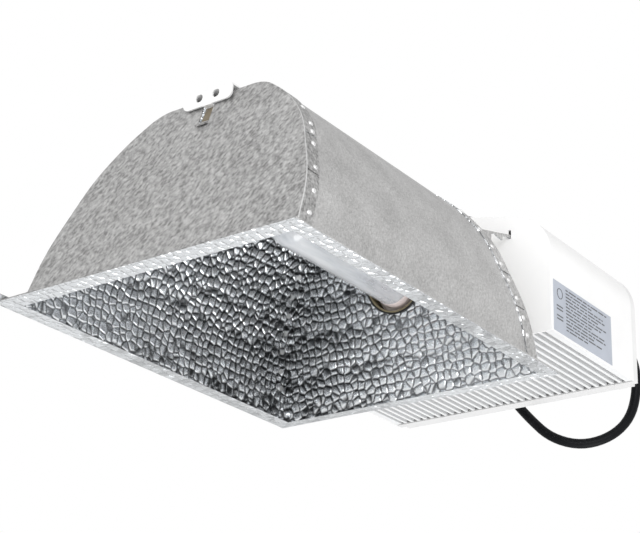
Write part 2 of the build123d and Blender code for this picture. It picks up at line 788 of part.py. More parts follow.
transistor_x, transistor_y, transistor_pitch = 466.0, 104.0, 24.0
chip_w, chip_t, chip_h = 16.0, 5.0, 21.0
leg_h, leg_w, leg_t, leg_pitch = 4.0, 1.2, 0.8, 5.4
with BuildPart() as transistors:
    with BuildSketch(level(board_top + leg_h)):
        with Locations((transistor_x, transistor_y)):
            with GridLocations(transistor_pitch, 1, 4, 1):
                Rectangle(chip_w, chip_t)
    extrude(amount=chip_h)
    with BuildSketch(level(board_top)):
        with Locations((transistor_x, transistor_y)):
            with GridLocations(transistor_pitch, 1, 4, 1), GridLocations(leg_pitch, 1, 3, 1):
                Rectangle(leg_w, leg_t)
    extrude(amount=leg_h)
pieces["power_transistors"] = transistors

spreader_t, spreader_length, spreader_h = 4.0, 100.0, 34.0
with BuildPart() as spreader:
    with BuildSketch(level(board_top)):
        with Locations((transistor_x, transistor_y + chip_t / 2)):
            Rectangle(spreader_length, spreader_t, align=(Align.CENTER, Align.MIN))
    extrude(amount=spreader_h)
pieces["heat_spreader"] = spreader

clip_size, clip_t, clip_h = 10.0, 0.8, 16.0
with BuildPart() as clips:
    with BuildSketch(beside(transistor_y - chip_t / 2)):
        with Locations((transistor_x, board_top + clip_h)):
            with GridLocations(transistor_pitch, 1, 4, 1):
                Rectangle(clip_size, clip_size)
    extrude(amount=clip_t)
pieces["transistor_clips"] = clips

terminal_x, terminal_y = 512.0, -54.0
terminal_w, terminal_length, terminal_h = 14.0, 32.0, 14.0
wire_pitch, wire_pit_r, wire_pit = 10.0, 2.6, 5.0
with BuildPart() as terminal_block:
    with BuildSketch(level(board_top)):
        with Locations((terminal_x, terminal_y)):
            Rectangle(terminal_w, terminal_length)
    extrude(amount=terminal_h)
    with BuildSketch(level(board_top + terminal_h)):
        with Locations((terminal_x, terminal_y)):
            with GridLocations(1, wire_pitch, 1, 3):
                Circle(wire_pit_r)
    extrude(amount=-wire_pit, mode=Mode.SUBTRACT)
pieces["terminal_block"] = terminal_block


bend_ratio = 3.0


def rod(route, radius):
    """Round wire along a route of straight runs joined by tangent arcs."""
    places = [at(*point) for point in route]
    with BuildPart() as wire:
        with BuildLine() as path:
            FilletPolyline(*places, radius=[bend_ratio * radius] * (len(places) - 2))
        line = path.wires()[0]
        with BuildSketch(Plane(origin=line @ 0, z_dir=line % 0)):
            Circle(radius)
        sweep(path=line)
    return wire


supply_wire_r = 1.4
supply_wire_x, supply_wire_z, supply_wire_pitch = 528.4, 111.0, 4.0
with BuildPart() as supply_wires:
    for step in (-1, 0, 1):
        start_y = gland_y + supply_wire_pitch * step
        end_y = terminal_y + wire_pitch * step
        add(rod([(supply_wire_x, start_y, supply_wire_z), (terminal_x, start_y, supply_wire_z),
                 (terminal_x, end_y, supply_wire_z), (terminal_x, end_y, board_top + terminal_h)],
                supply_wire_r).part)
pieces["supply_wires"] = supply_wires

lamp_wire_r = 1.6
lamp_wire_x0, lamp_wire_x1 = 367.0, 404.0
with BuildPart() as lamp_wires:
    for wire_y in (-pin_pitch_r, pin_pitch_r):
        add(rod([(lamp_wire_x0, wire_y, lamp_z), (lamp_wire_x1, wire_y, lamp_z),
                 (lamp_wire_x1, wire_y, board_top)], lamp_wire_r).part)
pieces["lamp_wires"] = lamp_wires

ground_place = (382.0, -48.0)
nut_h, stud_r, stud_h = 3.2, 2.0, 9.0
with BuildPart() as ground_screw:
    with BuildSketch(level(sink_top)):
        with Locations(ground_place):
            RegularPolygon(hex_r, 6)
    extrude(amount=nut_h)
    with BuildSketch(level(sink_top)):
        with Locations(ground_place):
            Circle(stud_r)
    extrude(amount=stud_h)
pieces["ground_screw"] = ground_screw

# ---------------------------------------------------------------- supply cord
# Strain relief: a tapered boot outside the end cap and a flange inside it.
boot_tip_r = cord_r + 1.0
gland_flange_t = 3.0
with BuildPart() as strain_relief:
    with BuildSketch(across(end_x)):
        with Locations((gland_y, gland_z)):
            Circle(gland_flange_r)
    with BuildSketch(across(boot_x)):
        with Locations((gland_y, gland_z)):
            Circle(boot_tip_r)
    loft()
    with BuildSketch(across(end_x - panel)):
        with Locations((gland_y, gland_z)):
            Circle(gland_neck_r)
    extrude(amount=panel)
    with BuildSketch(across(end_x - panel)):
        with Locations((gland_y, gland_z)):
            Circle(gland_flange_r)
    extrude(amount=-gland_flange_t)
pieces["strain_relief"] = strain_relief

cord_route = [(560, -92, 112), (588, -92, 112), (611, -94, 96), (621, -90, 71), (616, -84, 42),
              (600, -70, 21), (586, -45, 13), (574, -19, 22), (571, 1, 43), (570, 19, 65),
              (572, 36, 95), (577, 53, 125), (584, 69, 157), (577, 81, 185), (556, 90, 205),
              (527, 93, 211), (502, 92, 200), (480, 90, 188), (454, 88.9, 183.5)]


def cord_tube(route):
    """Supply cord along a route, each corner rounded as far as its two runs allow."""
    places = [Vector(*at(*point)) for point in route]
    radii = []
    for before, corner, after in zip(places, places[1:], places[2:]):
        turn = (corner - before).get_angle(after - corner)
        shorter = min((corner - before).length, (after - corner).length)
        radii.append(0.45 * shorter / math.tan(math.radians(turn / 2)))
    with BuildPart() as tube:
        with BuildLine() as path:
            FilletPolyline(*places, radius=radii)
        line = path.wires()[0]
        with BuildSketch(Plane(origin=line @ 0, z_dir=line % 0)):
            Circle(cord_r)
        sweep(path=line)
    section_volume = math.pi * cord_r**2 * line.length
    print("cord radii", [round(radius) for radius in radii], "length", round(line.length),
          "volume / (section x length)", round(tube.part.volume / section_volume, 3))
    return tube


power_cord = cord_tube(cord_route)
pieces["power_cord"] = power_cord

# Coil of the spare length: turns side by side in layers, as one ring.
coil_half_w = coil_columns * cord_r
coil_h = coil_layers * cord_d
coil_edge_r = 0.8 * cord_r
with BuildPart() as cord_coil:
    with BuildSketch(level(coil_z)):
        with Locations((coil_x, coil_y)):
            Circle(coil_mid_r + coil_half_w)
            Circle(coil_mid_r - coil_half_w, mode=Mode.SUBTRACT)
    extrude(amount=coil_h)
    fillet(cord_coil.edges(), radius=coil_edge_r)
pieces["cord_coil"] = cord_coil

with BuildPart() as coil_tie:
    with BuildSketch(beside(coil_y - tie_w / 2)):
        with Locations((coil_x - coil_mid_r, coil_z + coil_h / 2)):
            RectangleRounded(2 * (coil_half_w + tie_t + tie_gap), coil_h + 2 * (tie_t + tie_gap), cord_r)
            RectangleRounded(2 * (coil_half_w + tie_gap), coil_h + 2 * tie_gap, cord_r - tie_t,
                             mode=Mode.SUBTRACT)
    extrude(amount=-tie_w)
pieces["coil_tie"] = coil_tie

# Lead from the coil to the plug, which lies on top of the coil.
lead_angles = [-92, -64, -37, -12]
lead_rise = [0.0, 3.0, 7.5, 7.5]
lead_z = coil_z + coil_h + cord_r
plug_length = 40.0
plug_sections = [(0.0, 14.0, 13.0, 5.0), (plug_length / 3, 27.2, 20.0, 6.0), (plug_length, 34.0, 24.0, 6.0)]


def over_coil(angle, radius=coil_mid_r):
    """A place above the coil at the given angle from its centre."""
    return coil_x + radius * math.cos(math.radians(angle)), coil_y + radius * math.sin(math.radians(angle))


lead_route = [(*over_coil(angle), lead_z + rise) for angle, rise in zip(lead_angles, lead_rise)]
pieces["plug_lead"] = cord_tube(lead_route)
lead_end = lead_route[-1]
lead_dir = Vector(*lead_route[-1]) - Vector(*lead_route[-2])
plug_plane = Plane(origin=at(*lead_end), x_dir=(lead_dir.Y, -lead_dir.X, 0), z_dir=lead_dir)
with BuildPart() as plug_body:
    for reach, width, height, corner in plug_sections:
        with BuildSketch(plug_plane.offset(reach)):
            RectangleRounded(width, height, corner)
    loft()
pieces["plug_body"] = plug_body

blade_length, blade_t, blade_w = 17.0, 1.5, 6.3
blade_half_pitch, blade_low = 6.35, -3.0
ground_pin_r, ground_pin_high = 2.4, 7.5
with BuildPart() as plug_blades:
    with BuildSketch(plug_plane.offset(plug_length)):
        with Locations((-blade_half_pitch, blade_low), (blade_half_pitch, blade_low)):
            Rectangle(blade_t, blade_w)
        with Locations((0, ground_pin_high)):
            Circle(ground_pin_r)
    extrude(amount=blade_length)
pieces["plug_blades"] = plug_blades

# ---------------------------------------------------------------- files
for label, piece in pieces.items():
    piece.part.label = label
    export_step(piece.part, f"parts/{label}.step")
print(len(pieces), "pieces")
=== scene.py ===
"""Looks of the hooded grow lamp: finishes, fine pieces, cord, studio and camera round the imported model."""
import logging
import math
from dataclasses import dataclass
from enum import Enum
from typing import Optional

import bpy
from mathutils import Matrix, Vector


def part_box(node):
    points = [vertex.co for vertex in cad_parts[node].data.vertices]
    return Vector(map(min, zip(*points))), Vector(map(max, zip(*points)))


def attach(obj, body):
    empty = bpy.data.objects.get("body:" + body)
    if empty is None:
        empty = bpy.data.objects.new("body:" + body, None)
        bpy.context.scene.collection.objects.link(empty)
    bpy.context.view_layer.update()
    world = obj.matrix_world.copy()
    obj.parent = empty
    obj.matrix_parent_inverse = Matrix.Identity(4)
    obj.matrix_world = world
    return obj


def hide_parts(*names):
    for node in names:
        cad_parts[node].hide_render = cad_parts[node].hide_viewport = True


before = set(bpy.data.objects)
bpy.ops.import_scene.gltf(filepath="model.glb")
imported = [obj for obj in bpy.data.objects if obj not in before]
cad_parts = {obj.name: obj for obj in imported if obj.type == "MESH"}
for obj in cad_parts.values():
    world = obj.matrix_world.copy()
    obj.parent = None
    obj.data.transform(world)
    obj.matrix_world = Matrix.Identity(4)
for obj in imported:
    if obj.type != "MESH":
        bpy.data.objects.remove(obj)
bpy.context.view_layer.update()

LOG = logging.getLogger("grow_lamp")
MM = 0.001

# The frame's origin is the front hanger; places below are given from the near end of the rim.
HANGER_X = 66.0
HANGER_Z = 167.5
NEAR_FOOT = 16.0
NEAR_LEAN = 0.33
HOOD_CENTRE = (0.118, 0.0, -0.0975)


def place(x: float, y: float, z: float) -> Vector:
    """A place in the frame, in metres, from millimetres along, across and above the rim."""
    return Vector(((x - HANGER_X) * MM, y * MM, (z - HANGER_Z) * MM))


def grey(value: float, warmth: float = 0.0) -> tuple:
    """A grey, warmer for a positive warmth, as red, green, blue and alpha."""
    return (value * (1 + warmth), value, value * (1 - warmth), 1.0)


def scaled(colour: tuple, factor: float, lift: float = 0.0) -> tuple:
    """A colour made darker or lighter, kept under one."""
    return tuple(min(1.0, channel * factor + lift) for channel in colour[:3]) + (1.0,)


class Body(Enum):
    """The bodies that new pieces move with."""

    BALLAST = "ballast"


class Axis(Enum):
    """A direction along which a pattern changes, as its place in a coordinate."""

    ALONG = 0
    ACROSS = 1
    UP = 2


# ---------------------------------------------------------------- shader trees
class Wire:
    """An output socket of a shader tree, with arithmetic on its values."""

    def __init__(self, tree: "Tree", socket: bpy.types.NodeSocket) -> None:
        """Keep the socket and its tree."""
        self.tree = tree
        self.socket = socket

    def _math(self, operation: str, *values: object) -> "Wire":
        """Add one Math node.

        Args:
            operation: the Math node's operation.
            values: its inputs, wires or numbers.

        Returns:
            The node's result.
        """
        return self.tree.node("ShaderNodeMath", {"operation": operation}, list(values))

    def __add__(self, other: object) -> "Wire":
        """This plus other."""
        return self._math("ADD", self, other)

    __radd__ = __add__

    def __sub__(self, other: object) -> "Wire":
        """This minus other."""
        return self._math("SUBTRACT", self, other)

    def __rsub__(self, other: object) -> "Wire":
        """Other minus this."""
        return self._math("SUBTRACT", other, self)

    def __mul__(self, other: object) -> "Wire":
        """This times other."""
        return self._math("MULTIPLY", self, other)

    __rmul__ = __mul__

    def __truediv__(self, other: object) -> "Wire":
        """This over other."""
        return self._math("DIVIDE", self, other)

    def __gt__(self, other: object) -> "Wire":
        """One where this is above other, else zero."""
        return self._math("GREATER_THAN", self, other)

    def __lt__(self, other: object) -> "Wire":
        """One where this is below other, else zero."""
        return self._math("LESS_THAN", self, other)

    def either(self, other: object) -> "Wire":
        """The larger of this and other."""
        return self._math("MAXIMUM", self, other)

    def clamp(self) -> "Wire":
        """This kept between zero and one."""
        return self.tree.node("ShaderNodeClamp", {}, [self])

    def power(self, exponent: float) -> "Wire":
        """This to a power."""
        return self._math("POWER", self, exponent)


class Tree:
    """A node tree that is filled node by node."""

    def __init__(self, owner: bpy.types.ID) -> None:
        """Empty the tree.

        Args:
            owner: the material or world that has it.
        """
        owner.use_nodes = True
        self.nodes = owner.node_tree.nodes
        self.links = owner.node_tree.links
        self.nodes.clear()

    def node(self, kind: str, settings: dict, values: object, output: object = 0) -> Optional[Wire]:
        """Add a node.

        Args:
            kind: the node's type.
            settings: attributes set before its sockets, and "stops" for a colour ramp.
            values: its inputs by name or place, as wires or constants.
            output: the name or place of the output to return, or None for a node without one.

        Returns:
            That output, if any.
        """
        made = self.nodes.new(kind)
        for key, value in settings.items():
            if key == "stops":
                for element, (position, colour) in zip(made.color_ramp.elements, value):
                    element.position = position
                    element.color = colour
            else:
                setattr(made, key, value)
        pairs = values.items() if isinstance(values, dict) else enumerate(values)
        for key, value in pairs:
            self.put(made.inputs[key], value)
        return None if output is None else Wire(self, made.outputs[output])

    def put(self, socket: bpy.types.NodeSocket, value: object) -> None:
        """Link a wire to a socket, or set a constant on it.

        Args:
            socket: the input.
            value: a wire or a constant.
        """
        if isinstance(value, Wire):
            self.links.new(value.socket, socket)
        else:
            socket.default_value = value


class Shade(Tree):
    """One material's node tree, with a Principled shader at its end."""

    def __init__(self, name: str) -> None:
        """Start an empty material.

        Args:
            name: its name.
        """
        self.material = bpy.data.materials.new(name)
        super().__init__(self.material)
        self.shader = self.nodes.new("ShaderNodeBsdfPrincipled")
        self.node("ShaderNodeOutputMaterial", {}, {"Surface": Wire(self, self.shader.outputs[0])}, None)
        self.points = self.node("ShaderNodeTexCoord", {}, {}, "Object")

    def set(self, **sockets: object) -> None:
        """Set the Principled shader's sockets; an underscore in a name stands for a space."""
        for name, value in sockets.items():
            self.put(self.shader.inputs[name.replace("_", " ")], value)

    def part(self, vector: Wire, axis: Axis) -> Wire:
        """One coordinate of a vector."""
        return self.node("ShaderNodeSeparateXYZ", {}, [vector], axis.value)

    def moved(self, vector: Wire, offset: object) -> Wire:
        """A vector moved by an offset."""
        return self.node("ShaderNodeVectorMath", {"operation": "ADD"}, [vector, offset])

    def noise(self, size: float, detail: float = 2.0, stretch: Optional[tuple] = None) -> Wire:
        """Noise values over the piece.

        Args:
            size: the size of a blotch, in metres.
            detail: how many finer layers it has.
            stretch: scale of the coordinates along x, y and z.

        Returns:
            Values round 0.5.
        """
        points = self.points
        if stretch:
            points = self.node("ShaderNodeMapping", {}, {"Vector": points, "Scale": stretch})
        return self.node("ShaderNodeTexNoise", {}, {"Vector": points, "Scale": 1.0 / size, "Detail": detail})

    def cells(self, feature: str, grid: dict, output: str = "Distance") -> Wire:
        """A cell pattern.

        Args:
            feature: what the Voronoi node measures.
            grid: its inputs.
            output: the output to return.

        Returns:
            The pattern.
        """
        return self.node("ShaderNodeTexVoronoi", {"feature": feature}, grid, output)

    def mix(self, share: object, first: object, second: object) -> Wire:
        """Mix two colours.

        Args:
            share: how much of the second, a wire or number.
            first: the colour at share 0.
            second: the colour at share 1.

        Returns:
            The mixed colour.
        """
        return self.node("ShaderNodeMix", {"data_type": "RGBA"}, {0: share, 6: first, 7: second}, 2)

    def bump(self, height: Wire, distance: float, under: Optional[Wire] = None) -> Wire:
        """A normal bent by a height.

        Args:
            height: values from 0 to 1.
            distance: what 1 stands for, in metres.
            under: a normal to start from.

        Returns:
            The bent normal.
        """
        values = {"Height": height, "Distance": distance}
        if under:
            values["Normal"] = under
        return self.node("ShaderNodeBump", {}, values)


# ---------------------------------------------------------------- finishes
@dataclass(frozen=True)
class HammeredSheet:
    """Reflector sheet: bright hammered pebbles on the lit side, fine rolled relief outside.

    Lengths are in metres. The lit side's painted reflection grows brighter from dark_at to bright_at along
    the axis.
    """

    name: str
    cell: float = 0.0074
    scatter: float = 0.6
    pebble_depth: float = 0.0014
    side_light: tuple = (0.16, 0.16, -0.2)
    axis: Axis = Axis.ALONG
    dark_at: float = 0.26
    bright_at: float = -0.05
    dark_level: float = 0.45
    bright_level: float = 1.7
    gloom_size: float = 0.018
    # The dark and light ends of the lit side's colour ramp: painted shade and painted highlight.
    painted_shade_colour: tuple = grey(0.06, -0.05)
    crown: tuple = (0.95, 0.975, 1.0, 1.0)
    # Painted shade in the creases round each pebble: how dark it is, and how dark on the flange.
    crease_shade_share: float = 0.7
    flange_crease_shade_share: float = 0.04
    relief: float = 0.0030
    relief_depth: float = 0.0003
    # How much painted highlight and shade the outside's relief puts into its colour.
    relief_shading_share: float = 1.0
    relief_light: tuple = (0.3, 0.35, -0.35)
    relief_stretch: tuple = (1.0, 1.6, 0.9)
    slope: float = -0.8
    grain: float = 0.0010
    grain_depth: float = 0.0001
    blotch_size: float = 0.03
    outside_colour: float = 0.40
    outside_roughness: float = 0.45
    inside_roughness: float = 0.24
    grain_roughness: float = 0.08
    outside_metal: float = 0.55
    inside_metal: float = 0.9
    # Where the painted highlight along the fold lies, and how narrow it is.
    fold_foot: float = 1.0
    fold_lean: float = 0.0
    fold_highlight_sharpness: float = 1.2e6
    rim_top: float = place(0, 0, 2).z
    ledge_low: float = place(0, 0, 138.5).z
    ledge_high: float = place(0, 0, 142.9).z
    ledge_half_squared: float = 3.3e-5

    def offset(self, shares: tuple, size: float) -> tuple:
        """A short way given in shares of a size."""
        return tuple(share * size for share in shares)

    def pebbles(self, shade: Shade, offset: tuple = (0.0, 0.0, 0.0)) -> tuple[Wire, Wire, Wire]:
        """Rounded pebbles all over the sheet.

        Args:
            shade: the material.
            offset: how far the pattern is moved, in metres.

        Returns:
            Their height, one at the crown; a line round each, which carries painted shade in the creases; a
            random tone for each.
        """
        waves = {"Vector": shade.points, "Scale": 0.6 / self.cell}
        wobble = shade.node("ShaderNodeTexNoise", {}, waves, "Color")
        scale = {0: wobble, "Scale": self.cell * 0.4}
        shift = shade.node("ShaderNodeVectorMath", {"operation": "SCALE"}, scale)
        points = shade.moved(shade.moved(shade.points, shift), offset)
        grid = {"Vector": points, "Scale": 1.0 / self.cell, "Randomness": self.scatter}
        edge = shade.cells("DISTANCE_TO_EDGE", grid)
        near = shade.cells("F1", grid)
        tone = shade.cells("F1", grid, "Color")
        height = (edge * 4.5).clamp() * 0.55 + (1.0 - near * near * 1.6).clamp() * 0.45
        return height, (1.0 - edge * 11.0).clamp(), shade.node("ShaderNodeSeparateColor", {}, [tone])

    def ripples(self, shade: Shade, offset: tuple = (0.0, 0.0, 0.0)) -> Wire:
        """Fine rolled relief of the outside.

        Args:
            shade: the material.
            offset: how far the pattern is moved, in metres.

        Returns:
            Its height.
        """
        turned = {"Vector": shade.moved(shade.points, offset), "Rotation": (self.slope, 0.0, 0.0),
                  "Scale": self.relief_stretch}
        points = shade.node("ShaderNodeMapping", {"vector_type": "TEXTURE"}, turned)
        waves = {"Vector": points, "Scale": 1.0 / self.relief, "Detail": 1.0, "Roughness": 0.5}
        return ((shade.node("ShaderNodeTexNoise", {}, waves) - 0.5) * 1.8 + 0.5).clamp()

    def lit_side(self, shade: Shade, flange: Wire) -> tuple[Wire, Wire]:
        """Colour and height of the hammered side, with painted reflection, painted highlight and shade on the
        pebbles and painted shade in their creases.

        Args:
            shade: the material.
            flange: one on the rim's underside.

        Returns:
            Its colour and its height.
        """
        height, line, level = self.pebbles(shade)
        shading_neighbour, _, _ = self.pebbles(shade, self.offset(self.side_light, self.cell))
        # Painted reflection: the lit side is brighter along the axis from dark_at to bright_at, and at full
        # level on the flange.
        reach = (shade.part(shade.points, self.axis) - self.dark_at) / (self.bright_at - self.dark_at)
        growth = self.bright_level - self.dark_level
        painted_reflection = (reach.clamp().power(1.3) * growth + self.dark_level).either(flange)
        gloom = shade.noise(self.gloom_size)
        tone = (level * 0.3 + gloom * 0.4 + 0.38) * painted_reflection
        # Painted highlight and shade: the height here minus the height a little way towards side_light
        # lightens one side of each pebble and darkens the other.
        value = tone + (height - shading_neighbour) * (0.95 - flange * 0.75)
        bright = shade.mix(value.clamp(), self.painted_shade_colour, self.crown)
        # Painted shade: a dark line in the crease round each pebble, faint on the flange.
        crease_shade = line * (self.crease_shade_share - flange * (self.crease_shade_share - self.flange_crease_shade_share))
        return shade.mix(crease_shade, bright, grey(0.02)), height

    def dull_side(self, shade: Shade) -> tuple[Wire, Wire, Wire]:
        """Colour, relief and grain of the outside; the colour holds painted highlight and shade from the
        relief and a painted highlight along the fold.

        Args:
            shade: the material.

        Returns:
            Its colour, the height of its relief and the height of its grain.
        """
        ripple = self.ripples(shade)
        shading_neighbour = self.ripples(shade, self.offset(self.relief_light, self.relief))
        grain = shade.noise(self.grain, 3.0)
        blotch = shade.noise(self.blotch_size, 4.0)
        # Random grain and blotches, plus painted highlight and shade from the relief shifted towards
        # relief_light.
        value = grain * 0.8 + blotch * 0.5 - 0.15 + (ripple - shading_neighbour) * self.relief_shading_share
        darker = grey(self.outside_colour * 0.5, 0.012)
        colour = shade.mix(value.clamp(), darker, grey(self.outside_colour * 1.5, 0.006))
        # Painted highlight: a pale band along the near plate's fold, where the bend catches the light.
        along = shade.part(shade.points, Axis.ALONG)
        up = shade.part(shade.points, Axis.UP)
        from_fold = along - up * self.fold_lean - self.fold_foot
        fold_highlight = (1.0 - from_fold * from_fold * self.fold_highlight_sharpness).clamp() * 0.8
        return shade.mix(fold_highlight, colour, grey(0.8)), ripple, grain

    def lit_mask(self, shade: Shade) -> tuple[Wire, Wire]:
        """Where the hammered side shows.

        Args:
            shade: the material.

        Returns:
            One on the lit side, and one on the rim's underside.
        """
        normal = shade.node("ShaderNodeTexCoord", {}, {}, "Normal")
        subtract = {"operation": "SUBTRACT"}
        outwards = shade.node("ShaderNodeVectorMath", subtract, [shade.points, HOOD_CENTRE])
        product = {"operation": "DOT_PRODUCT"}
        facing = shade.node("ShaderNodeVectorMath", product, [normal, outwards], "Value")
        upwards = shade.part(normal, Axis.UP)
        height = shade.part(shade.points, Axis.UP)
        across = shade.part(shade.points, Axis.ACROSS)
        flange = (upwards < -0.9) * (height < self.rim_top)
        above = (upwards > 0.9) * (height < self.rim_top)
        ledge = (height > self.ledge_low) * (height < self.ledge_high)
        ledge = ledge * (across * across < self.ledge_half_squared)
        return ((facing < 0.0) - above - ledge).clamp().either(flange), flange

    def material(self) -> bpy.types.Material:
        """Make the finish.

        Returns:
            The finished material.
        """
        shade = Shade(self.name)
        lit, flange = self.lit_mask(shade)
        bright, height = self.lit_side(shade, flange)
        dull, ripple, grain = self.dull_side(shade)
        inner = shade.bump(height, self.pebble_depth)
        outer = shade.bump(grain, self.grain_depth, shade.bump(ripple, self.relief_depth))
        bent = shade.node("ShaderNodeMix", {"data_type": "VECTOR"}, {0: lit, 4: outer, 5: inner}, 1)
        rougher = self.outside_roughness - self.inside_roughness
        smoothest = self.inside_roughness - self.grain_roughness / 2
        shade.set(Base_Color=shade.mix(lit, dull, bright),
                  Metallic=lit * (self.inside_metal - self.outside_metal) + self.outside_metal,
                  Roughness=(1.0 - lit) * rougher + smoothest + grain * self.grain_roughness, Normal=bent)
        return shade.material


@dataclass(frozen=True)
class PowderCoat:
    """Sprayed enamel with a very fine orange peel."""

    name: str
    colour: tuple
    roughness: float = 0.38
    peel: float = 0.0016
    depth: float = 0.00004
    haze_size: float = 0.06

    def material(self) -> bpy.types.Material:
        """Make the finish.

        Returns:
            The finished material.
        """
        shade = Shade(self.name)
        peel = shade.noise(self.peel, 2.0)
        haze = shade.noise(self.haze_size, 3.0)
        shade.set(Base_Color=shade.mix((haze * 1.6 - 0.3).clamp(), self.colour, scaled(self.colour, 0.93)),
                  Roughness=haze * 0.12 + self.roughness - 0.06, Normal=shade.bump(peel, self.depth))
        return shade.material


@dataclass(frozen=True)
class BareMetal:
    """Plain metal with a fine scratch pattern."""

    name: str
    colour: tuple
    roughness: float = 0.25
    scratch: float = 0.0006
    depth: float = 0.00003
    stain_size: float = 0.01

    def material(self) -> bpy.types.Material:
        """Make the finish.

        Returns:
            The finished material.
        """
        shade = Shade(self.name)
        fine = shade.noise(self.scratch, 4.0, (1.0, 6.0, 1.0))
        stain = shade.noise(self.stain_size, 2.0)
        darker = scaled(self.colour, 0.75)
        shade.set(Base_Color=shade.mix((stain * 1.4 - 0.2).clamp(), self.colour, darker), Metallic=1.0,
                  Roughness=fine * 0.2 + self.roughness - 0.1, Normal=shade.bump(fine, self.depth))
        return shade.material


@dataclass(frozen=True)
class Moulding:
    """Rubber, plastic or glazed ceramic: one colour with a little texture and dust."""

    name: str
    colour: tuple
    roughness: float = 0.5
    grain: float = 0.0008
    depth: float = 0.00003
    coat: float = 0.0
    gloss: float = 0.5
    dust_size: float = 0.02

    def material(self) -> bpy.types.Material:
        """Make the finish.

        Returns:
            The finished material.
        """
        shade = Shade(self.name)
        fine = shade.noise(self.grain, 3.0)
        dust = shade.noise(self.dust_size, 4.0)
        lighter = scaled(self.colour, 1.12, 0.003)
        shade.set(Base_Color=shade.mix((dust * 1.8 - 0.4).clamp(), self.colour, lighter),
                  Roughness=fine * 0.14 + self.roughness - 0.07, Coat_Weight=self.coat,
                  Specular_IOR_Level=self.gloss, Normal=shade.bump(fine, self.depth))
        return shade.material


@dataclass(frozen=True)
class LampGlass:
    """Clear lamp glass with a soft whitish haze, thicker towards its tip."""

    name: str
    haze_size: float = 0.012
    hazy_from: float = 0.17

    def material(self) -> bpy.types.Material:
        """Make the finish.

        Returns:
            The finished material.
        """
        shade = Shade(self.name)
        haze = shade.noise(self.haze_size, 3.0, (0.18, 1.0, 1.0))
        share = (haze * 1.5 - 0.35).clamp()
        tip = ((self.hazy_from - shade.part(shade.points, Axis.ALONG)) * 12.0).clamp()
        shade.set(Base_Color=shade.mix(share, (0.86, 0.9, 0.95, 1.0), grey(1.0)), Roughness=haze * 0.1 + 0.02,
                  Alpha=share * 0.4 + 0.25 + tip * 0.25, Coat_Weight=1.0, IOR=1.5)
        shade.material.surface_render_method = "DITHERED"
        return shade.material


@dataclass(frozen=True)
class EdgedRing:
    """Ring on the lamp hole: tan inside, with a black outer edge."""

    name: str
    centre_z: float = 103.4
    black_from: float = 27.8
    grain: float = 0.0008
    depth: float = 0.00003

    def material(self) -> bpy.types.Material:
        """Make the finish.

        Returns:
            The finished material.
        """
        shade = Shade(self.name)
        to_hole = (0.0, 0.0, -place(0, 0, self.centre_z).z)
        centred = {"Vector": shade.points, "Location": to_hole, "Scale": (0.0, 1.0, 1.0)}
        flat = shade.node("ShaderNodeMapping", {}, centred)
        reach = shade.node("ShaderNodeVectorMath", {"operation": "LENGTH"}, [flat], "Value")
        fine = shade.noise(self.grain, 3.0)
        tan = shade.mix((fine * 1.6 - 0.3).clamp(), (0.24, 0.20, 0.11, 1.0), (0.36, 0.31, 0.19, 1.0))
        shade.set(Base_Color=shade.mix(reach > self.black_from * MM, tan, grey(0.01)),
                  Roughness=fine * 0.2 + 0.35, Normal=shade.bump(fine, self.depth))
        return shade.material


@dataclass(frozen=True)
class Laminate:
    """Circuit board or film: flat colour with a fine grid of tracks or fibres."""

    name: str
    colour: tuple
    track: float = 0.003
    depth: float = 0.00005

    def material(self) -> bpy.types.Material:
        """Make the finish.

        Returns:
            The finished material.
        """
        shade = Shade(self.name)
        grid = {"Vector": shade.points, "Scale": 1.0 / self.track}
        settings = {"feature": "F1", "distance": "MANHATTAN"}
        tracks = shade.node("ShaderNodeTexVoronoi", settings, grid, "Distance")
        shade.set(Base_Color=shade.mix((tracks > 0.45) * 0.6, self.colour, scaled(self.colour, 1.5)),
                  Roughness=shade.noise(0.01) * 0.2 + 0.3, Normal=shade.bump(tracks, self.depth))
        return shade.material


@dataclass(frozen=True)
class Winding:
    """Varnished copper wire laid in turns."""

    name: str
    turns_scale: float = 260.0
    depth: float = 0.0003

    def material(self) -> bpy.types.Material:
        """Make the finish.

        Returns:
            The finished material.
        """
        shade = Shade(self.name)
        turns = shade.node("ShaderNodeTexWave", {"bands_direction": "Z"},
                           {"Vector": shade.points, "Scale": self.turns_scale, "Distortion": 0.4})
        shade.set(Base_Color=shade.mix(turns, (0.30, 0.10, 0.03, 1.0), (0.75, 0.33, 0.12, 1.0)), Metallic=0.8,
                  Roughness=shade.noise(0.004) * 0.2 + 0.2, Normal=shade.bump(turns, self.depth))
        return shade.material


@dataclass(frozen=True)
class Webbing:
    """Woven hook-and-loop strap."""

    name: str
    weave_scale: float = 500.0
    depth: float = 0.0002

    def material(self) -> bpy.types.Material:
        """Make the finish.

        Returns:
            The finished material.
        """
        shade = Shade(self.name)
        weave = shade.node("ShaderNodeTexWave", {"bands_direction": "DIAGONAL"},
                           {"Vector": shade.points, "Scale": self.weave_scale, "Distortion": 2.0})
        shade.set(Base_Color=shade.mix(weave, grey(0.012), grey(0.05)), Roughness=weave * 0.2 + 0.7,
                  Normal=shade.bump(weave, self.depth), Sheen_Weight=0.2)
        return shade.material


def dress(item: bpy.types.Object, material: bpy.types.Material) -> None:
    """Give an object one material in all its slots.

    Args:
        item: the object.
        material: its material.
    """
    if not item.material_slots:
        item.data.materials.append(material)
    for slot in item.material_slots:
        slot.material = material


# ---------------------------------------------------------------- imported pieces
class SubAssembly:
    """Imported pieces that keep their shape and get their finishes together."""

    def finishes(self) -> dict:
        """Each finish with the names of the pieces that share it."""
        raise NotImplementedError

    def build(self) -> None:
        """Dress every piece of the sub-assembly."""
        for finish, nodes in self.finishes().items():
            material = finish.material()
            for node in nodes:
                dress(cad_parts[node], material)
                LOG.info("%s: %s", node, finish.name)


